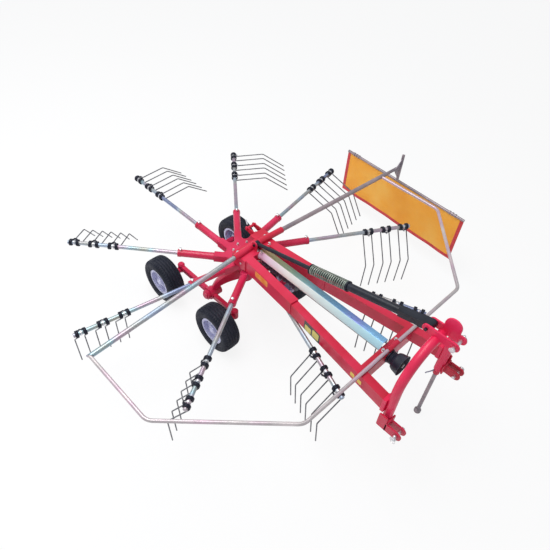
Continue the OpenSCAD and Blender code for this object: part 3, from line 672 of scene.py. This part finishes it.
tread_w = np.clip(w + np.sign(w) * ridge_high * ridge * (r < 184), -half_wide, half_wide)
tread = np.stack(np.broadcast_arrays(tread_w, tread_r * np.sin(turn), tread_r * np.cos(turn)), -1) / 1000
rubber = surface("tyre rubber", (7, 5, (0.3, (0.005, 0.007, 0.015)), (0.55, (0.010, 0.012, 0.024)),
                                 (0.75, (0.024, 0.026, 0.038))),
                 (30, 4, (0.3, 0.50), (0.7, 0.74)), (260, 3, 0.0006), Specular_IOR_Level=0.30)
wheels = {j["child"]: np.array(j["pos_m"]) for j in frame["joints"] if j["child"].startswith("wheel_")}
numbers = {"wheel_front_left": 1, "wheel_rear_left": 2, "wheel_front_right": 3, "wheel_rear_right": 4}
for body, centre in wheels.items():
    k = numbers[body]
    shape = (tread + centre).reshape(-1, 3), [quads(1, steps_round, section_points, loop=True)]
    piece(f"tyre_tread_{k}", shape, rubber, body, [f"tyre_{k}"], 40)

# Rims
# Pressed steel dishes in a lavender-silver enamel, with five plated nuts, a grease
# cap on the hub and a rubber valve stem.
enamel = surface("rim enamel",
                 (14, 4, (0.3, (0.46, 0.46, 0.66)), (0.6, (0.60, 0.60, 0.78)), (0.8, (0.68, 0.68, 0.80))),
                 (40, 3, (0.3, 0.30), (0.7, 0.50)), (200, 2, 0.0004),
                 Metallic=0.35, Coat_Weight=0.25, Coat_Roughness=0.25)
dress(enamel, *[f"rim_{k}" for k in range(1, 5)])
a = np.arange(5) * 2 * np.pi / 5 + 0.4
nut_ring = 0.046 * np.stack([a * 0, np.cos(a), np.sin(a)], -1)
for body, centre in wheels.items():
    k = numbers[body]
    away = np.array([1.0 if k < 3 else -1.0, 0, 0])
    nuts = hex_bolts(centre + away * 0.013 + nut_ring, away, m10)
    piece(f"wheel_nuts_{k}", nuts, bright, body)
    cap = turned([(0.031, 0.049), (0.031, 0.054), (0.027, 0.061), (0.016, 0.066), (0.006, 0.067)],
                 centre, away, 28)
    piece(f"hub_cap_{k}", cap, enamel, body)
    stem = turned([(0.0045, 0.024), (0.0040, 0.044), (0.0032, 0.046), (0.0032, 0.054)],
                  centre + np.array([0, 0.059, 0.060]), away, 12)
    piece(f"valve_{k}", stem, rubber, body)

# Strut
# A black rod slides in a black tube under a heavy grey-green spring, which lets the
# headstock float over rough ground. A clevis joins the tube to the hitch plates.
black = surface("black gloss", (9, 4, (0.35, (0.003, 0.005, 0.012)), (0.7, (0.012, 0.015, 0.028))),
                (26, 4, (0.3, 0.30), (0.7, 0.52)), (220, 2, 0.0004),
                Coat_Weight=0.2, Coat_Roughness=0.25, Specular_IOR_Level=0.35)
dress(black, "strut_rod", "strut_tube")
rear, front = at(0.0, -120, 848), at(0.0, -1555, 1218)
length = np.linalg.norm(front - rear)
lie = (front - rear) / length
side, top = np.array([1.0, 0, 0]), np.cross([1.0, 0, 0], lie)
turns, spring_start, spring_l, spring_r, spring_wire = 19, 0.566, 0.312, 0.0322, 0.0046
q = np.linspace(0, 1, turns * 22)
climb = np.interp(q, [0, 0.05, 0.95, 1], [0, 0.02, 0.98, 1])[:, None]
angle = (q * turns * 2 * np.pi)[:, None]
around = np.cos(angle) * side + np.sin(angle) * top
helix = rear + lie * (spring_start + spring_wire + climb * (spring_l - 2 * spring_wire)) + spring_r * around
spring_steel = surface("spring steel", (20, 4, (0.3, (0.16, 0.20, 0.17)), (0.7, (0.40, 0.44, 0.38))),
                       (50, 3, (0.3, 0.30), (0.7, 0.5)), (250, 2, 0.0003), Metallic=0.55)
piece("strut_coil", swept(helix, around, round_wire(spring_wire, 8)), spring_steel, "frame",
      ["strut_spring"], 60)

block = np.array([(0.027, -0.025), (0.027, 0.025), (0.023, 0.029), (-0.023, 0.029), (-0.027, 0.025),
                  (-0.027, -0.025), (-0.023, -0.029), (0.023, -0.029)])
clevis = swept(rear + lie * np.linspace(length - 0.205, length - 0.018, 6)[:, None], top, block)
nuts = hex_bolts(rear + lie * (length - np.array([0.18, 0.12, 0.07]))[:, None] + top * 0.026, top, m14)
piece("strut_clevis", together(clevis, nuts), black, "frame")

# Drive
# A folded zinc cover hides the shaft. Ahead of the saddle a ribbed rubber boot
# hangs round the joint, and a black bell guards the splined stub.
film_and_sheen_steel = finish("rainbow zinc sheet with painted sheen", Metallic=0.55)
place = node(film_and_sheen_steel, "ShaderNodeTexCoord").outputs["Object"]
spot = node(film_and_sheen_steel, "ShaderNodeSeparateXYZ", {"Vector": place}).outputs
low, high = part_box("shaft_cover")
along = node(film_and_sheen_steel, "ShaderNodeMapRange",
             {"Value": spot["Y"], "From Min": high.y, "From Max": low.y}).outputs[0]
wavy = node(film_and_sheen_steel, "ShaderNodeMath", {0: grain(film_and_sheen_steel, 3.0, 3), 1: 0.16},
            operation="MULTIPLY").outputs[0]
along = node(film_and_sheen_steel, "ShaderNodeMath", {0: along, 1: wavy}, operation="ADD").outputs[0]
top_film = ramp(film_and_sheen_steel, along, (0.08, (0.42, 0.24, 0.13)), (0.22, (0.27, 0.26, 0.14)),
                (0.38, (0.16, 0.25, 0.20)), (0.54, (0.14, 0.26, 0.32)), (0.72, (0.12, 0.26, 0.44)),
                (0.86, (0.20, 0.24, 0.56)), (0.98, (0.20, 0.42, 0.66)))
# Painted sheen: the cover's sides take pale, near-white bands, while the top face keeps the film's deeper
# colours.
sides_painted_sheen = ramp(film_and_sheen_steel, along, (0.06, (0.66, 0.24, 0.44)), (0.16, (0.90, 0.66, 0.80)),
                 (0.34, (0.94, 0.88, 0.84)), (0.55, (0.84, 0.93, 0.90)), (0.75, (0.68, 0.90, 0.92)),
                 (0.98, (0.52, 0.84, 0.94)))
upper = node(film_and_sheen_steel, "ShaderNodeMapRange",
             {"Value": spot["Z"], "From Min": high.z - 0.0035, "From Max": high.z - 0.0005}).outputs[0]
feed(film_and_sheen_steel, Base_Color=mixed(film_and_sheen_steel, upper, sides_painted_sheen, top_film),
     Roughness=clouds(film_and_sheen_steel, 30, 4, (0.3, 0.30), (0.7, 0.48)),
     Normal=relief(film_and_sheen_steel, grain(film_and_sheen_steel, 120, 2), 0.0003))
fold = np.array([(779, -37), (825, -37), (827, -35), (827, 8), (825, 11.5), (779, 40), (779, 36.5),
                 (823, 9.5), (824, 7), (824, -34), (779, -34)]) / 1000
cover = swept(at(0.0, np.linspace(-172, -1328, 9), 0), up, fold)
piece("folded_cover", cover, film_and_sheen_steel, "frame", ["shaft_cover"])

boot = surface("boot rubber", (12, 3, (0.35, (0.022, 0.016, 0.030)), (0.7, (0.070, 0.050, 0.090))),
               (30, 3, (0.3, 0.28), (0.7, 0.45)), (160, 2, 0.0005), Specular_IOR_Level=0.6)
dress(boot, "shaft_bellows")
bell = surface("black moulded plastic", (10, 3, (0.35, (0.008, 0.010, 0.022)), (0.7, (0.022, 0.026, 0.048))),
               (24, 3, (0.3, 0.34), (0.7, 0.52)), (350, 2, 0.0003), Specular_IOR_Level=0.5)
skirt = np.array([(24, 0), (50, 0), (50, 8), (42, 12), (46, 18), (42, 24), (46, 30), (42, 36), (57, 46),
                  (64, 60), (73, 102), (76, 106), (76, 108), (72, 108), (70, 102), (60, 62), (53, 50),
                  (38, 40), (38, 5), (24, 5)])
points = turned(skirt / 1000, at(0, -1390, shaft_z), (0, -1, 0), 64)[0]
piece("bell_guard", (points, [quads(1, len(skirt), 64, loop=True)]), bell, "frame",
      ["pto_guard"])

# The splined stub: a round bar whose radius falls by the groove's depth between six teeth,
# apart from its ends and the neck for the yoke's lock.
tooth_r, groove = 17.45, 2.55
a = np.arange(72) * 2 * np.pi / 72
tooth = smooth(np.cos(6 * a), -0.25, 0.15)
stations = np.array([0, 4, 60, 61, 63, 78, 80, 98, 102.0])
plain = np.array([1, 0, 0, 0, 1, 1, 0, 0, 0.35])
size = np.array([17.0, tooth_r, tooth_r, tooth_r, 14.6, 14.6, tooth_r, tooth_r, 16.4])
radius = (size[:, None] - (1 - tooth)[None] * groove * (1 - plain)[:, None]) / 1000
splined = np.stack([radius * np.cos(a), radius * np.sin(a)], -1)
stub = swept(at(0.0, -1398 - stations, shaft_z), (1, 0, 0), splined)
barrel = turned([(0.017, 0), (0.017, 1.2257)], at(0.0, -172.3, shaft_z), (0, -1, 0), 40)
dark_steel = surface("oiled steel", (30, 4, (0.3, (0.16, 0.16, 0.17)), (0.7, (0.36, 0.35, 0.34))),
                     (60, 3, (0.3, 0.25), (0.7, 0.45)), Metallic=0.8)
piece("splined_shaft", together(stub, barrel), dark_steel, "frame", ["drive_shaft"])

# Curtain
# The swath curtain is coated orange cloth, cut to 434 by 1356 mm, bound in red on
# three sides and hung from the zinc rail by clips near its ends.
post_x, post_y, curtain_turn = 1710, -190, math.radians(-3.34)
cloth_front, cloth_back, cloth_low, cloth_top = 615, -741, 221, 655


def on_curtain(out, back, z):
    """Row-frame points from the curtain's own millimetres: back along it from the post and out from its
    face, turned by the curtain's few degrees."""
    x, y = swung(out, back, curtain_turn)
    return at(post_x + x, post_y + y, z)


def cloth_face(back, z):
    """How far the cloth stands out of its plane: slow waves along it that grow towards the lower edge, with a
    slight belly between the clips."""
    drop = (cloth_top - z) / (cloth_top - cloth_low)
    waves = 2.6 * np.sin(back / 92.0) + 1.6 * np.sin(back / 41.0 + 1.3)
    return drop * waves + 2.2 * np.sin(np.pi * drop) * np.cos(back / 260.0)


columns, rows = 150, 48
back, z = np.meshgrid(np.linspace(cloth_front, cloth_back, columns), np.linspace(cloth_low, cloth_top, rows),
                      indexing="ij")
points = on_curtain(cloth_face(back, z), back, z).reshape(-1, 3)
i, j = np.meshgrid(np.arange(columns - 1) * rows, np.arange(rows - 1), indexing="ij")
cloth_quads = np.stack([i + j, i + j + 1, i + rows + j + 1, i + rows + j], -1).reshape(-1, 4)
fabric = finish("orange curtain cloth", Sheen_Weight=0.25, Sheen_Roughness=0.4)
threads = {"Vector": node(fabric, "ShaderNodeUVMap", uv_map="cloth").outputs[0],
           "Scale": 110, "Distortion": 0.4}
warp, weft = [node(fabric, "ShaderNodeTexWave", threads, bands_direction=way).outputs["Fac"] for way in "XY"]
weave = node(fabric, "ShaderNodeMath", {0: warp, 1: weft}, operation="MULTIPLY").outputs[0]
dye = clouds(fabric, 3.2, 4, (0.30, (0.93, 0.35, 0.020)), (0.5, (0.99, 0.43, 0.038)),
             (0.72, (1.0, 0.52, 0.080)))
feed(fabric, Base_Color=mixed(fabric, 1.0, dye, ramp(fabric, weave, (0.0, 0.93), (0.6, 1.0)), "MULTIPLY"),
     Roughness=clouds(fabric, 20, 3, (0.3, 0.62), (0.7, 0.82)), Normal=relief(fabric, weave, 0.0004))
curtain = piece("curtain_cloth", (points, [cloth_quads]), fabric, "curtain",
                ["curtain_sheet"])
layer = curtain.data.uv_layers.new(name="cloth")
corner = np.zeros(len(curtain.data.loops), np.int32)
curtain.data.loops.foreach_get("vertex_index", corner)
laid_flat = np.stack([back, z], -1).reshape(-1, 2)[corner] / 1000
layer.data.foreach_set("uv", laid_flat.astype(np.float32).ravel())
thick = curtain.modifiers.new("thickness", "SOLIDIFY")
thick.thickness, thick.offset = 0.0016, 0


def strap(thick, wide):
    """A flat strap's section as (u, v) points: half its thickness and half its width from the middle."""
    return np.array([[thick, -wide], [thick, wide], [-thick, wide], [-thick, -wide]]) / 1000


tape = surface("red binding tape", (9, 4, (0.3, (0.52, 0.015, 0.020)), (0.7, (0.68, 0.035, 0.050))),
               (40, 3, (0.3, 0.6), (0.7, 0.8)), (320, 2, (1, 1, 3), 0.0005), Sheen_Weight=0.3)
down, level = np.linspace(cloth_top, cloth_low, 30), np.linspace(cloth_front, cloth_back, 120)
strips = []
for b, h, w in ((down * 0 + cloth_front - 16, down, 16.5), (level, level * 0 + cloth_low + 16, 16.0),
                (down * 0 + cloth_back + 16, down[::-1], 16.5)):
    middle = on_curtain(cloth_face(b, h), b, h)
    strips.append(swept(middle, on_curtain(cloth_face(b, h) + 1, b, h) - middle, strap(2.2, w)))
binding = piece("curtain_binding", together(*strips), tape, "curtain")

clip_spots = np.array([537.0, 507, 477, -593, -623, -653])
rail_z, hoop_r = cloth_top + 12.3, 15.0
outward, backward = [on_curtain(*way, 0.0) - on_curtain(0.0, 0.0, 0.0) for way in ((1.0, 0.0), (0.0, 1.0))]
a = np.arange(24) * 2 * np.pi / 24
hoops = on_curtain(hoop_r * np.cos(a)[None], clip_spots[:, None], rail_z + hoop_r * np.sin(a)[None])
tabs = np.stack([on_curtain(3.4, np.full(4, spot), np.array([658.0, 650, 630, 612])) for spot in clip_spots])
rivet_spots = np.concatenate([on_curtain(4.2, clip_spots, z) for z in (620.0, 640.0)])
rivets = turned([(0.0055, 0), (0.0045, 0.003), (0.002, 0.0040)], rivet_spots, outward, 14)
clip_parts = together(swept(hoops, backward, strap(6, 1.4), loop=True),
                      swept(tabs, outward, strap(1.2, 7)), rivets)
clips = piece("curtain_clips", clip_parts, shaded_zinc, "curtain")

# Linchpins
# Each hitch pin is kept by a linchpin, a plated peg with a sprung ring of wire
# that snaps over its end.
a = np.arange(32) * 2 * np.pi / 32
spots = np.array([at(-378.0, low_pin_y, low_pin_z - 14), at(378.0, low_pin_y, low_pin_z - 14),
                  at(66.0, top_pin_y, top_pin_z - 14)])
hoops = spots[:, None] + 0.021 * np.stack([np.sin(a) * 0.25, np.sin(a), np.cos(a)], -1)
hoop_rings = swept(hoops, hoops - spots[:, None], round_wire(0.0019, 8), loop=True)
pegs = turned([(0.0035, -0.030), (0.0045, -0.026), (0.0045, 0.016), (0.007, 0.018), (0.007, 0.024),
               (0.003, 0.026)],
              np.array([at(-365.0, low_pin_y, low_pin_z), at(365.0, low_pin_y, low_pin_z),
                        at(54.0, top_pin_y, top_pin_z)]), up, 14)
piece("linchpins", together(hoop_rings, pegs), bright, "frame")

# Stand
# The parking leg is zinc tube on a small drum-shaped foot. It slides in a red
# sleeve under the headstock's left leg, where a bent lever locks it.
stand_x, stand_y = 294, -1621
leg = turned([(0.024, 0), (0.026, 0.003), (0.026, 0.024), (0.020, 0.030), (0.014, 0.032), (0.014, 0.598)],
             at(stand_x, stand_y, 0), up, 32)
piece("stand_tube", leg, shaded_zinc, "stand", ["stand_leg"])
wall = [(0.0145, 0.0), (0.022, 0.0), (0.022, 0.060), (0.0145, 0.060)]
points = turned(wall, at(stand_x, stand_y, 518), up, 32)[0]
piece("stand_sleeve", (points, [quads(1, 4, 32, loop=True)]), red, "frame")
lever = at(np.array([288.0, 268, 244, 226, 221]), np.array([-1606.0, -1603, -1592, -1582, -1578]),
           np.array([548.0, 548, 547, 546, 538]))
piece("stand_lever", swept(lever, up, round_wire(0.0045, 12)), zinc, "frame")

# Blank plates
# Self-adhesive plates on the right beam's outer face, left plain: one orange, one
# black with two yellow panels, and two small yellow ones.


def blank(name, film, y0, y1, z0, z1, thick=1.0, corner=0.006):
    """A thin plate with cut corners on the beam's outer face, which runs from (153, 130) to (207, 690) and
    from (202, 690) to (327, 1620) in x and y."""
    ys = np.array([y0, y1], float)
    x = -np.where(ys.mean() > -690, 153 + 54 * (-ys - 130) / 560, 202 + 125 * (-ys - 690) / 930)
    first, last = at(x, ys, z0)
    long, tall = np.linalg.norm(last - first), (z1 - z0) / 1000
    run = (last - first) / long
    out = np.cross(run, up)
    cut, u, v = corner, long - corner, tall - corner
    outline = np.array([(cut, 0), (u, 0), (long, cut), (long, v), (u, tall), (cut, tall), (0, v), (0, cut)])
    face = first + outline[:, :1] * run + outline[:, 1:] * np.array(up)
    points = (face + np.array([-0.0004, thick / 1000])[:, None, None] * out).reshape(-1, 3)
    piece(name, (points, [quads(1, 2, 8), lids(1, 2, 8)]), film, "frame")


def sticker(name, colour, other):
    """A satin film with a faint print grain."""
    return surface(name, (18, 4, (0.3, colour), (0.7, other)), (50, 2, (0.3, 0.35), (0.7, 0.5)),
                   Coat_Weight=0.3, Coat_Roughness=0.2)


blank("plate_orange", sticker("orange film", (0.80, 0.20, 0.02), (0.92, 0.46, 0.10)), -288, -430, 744, 798)
blank("plate_black", sticker("black film", (0.012, 0.012, 0.012), (0.03, 0.028, 0.02)), -838, -1000, 696, 784)
panel_film = sticker("yellow film", (0.55, 0.44, 0.06), (0.74, 0.62, 0.16))
blank("plate_panel_1", panel_film, -848, -912, 700, 752, 1.4)
blank("plate_panel_2", panel_film, -924, -988, 708, 772, 1.4)
small_film = sticker("small yellow film", (0.80, 0.52, 0.05), (0.86, 0.60, 0.10))
blank("plate_yellow_1", small_film, -1302, -1338, 716, 752)
blank("plate_yellow_2", small_film, -1364, -1400, 716, 752)

bpy.context.scene.view_settings.view_transform = "Standard"
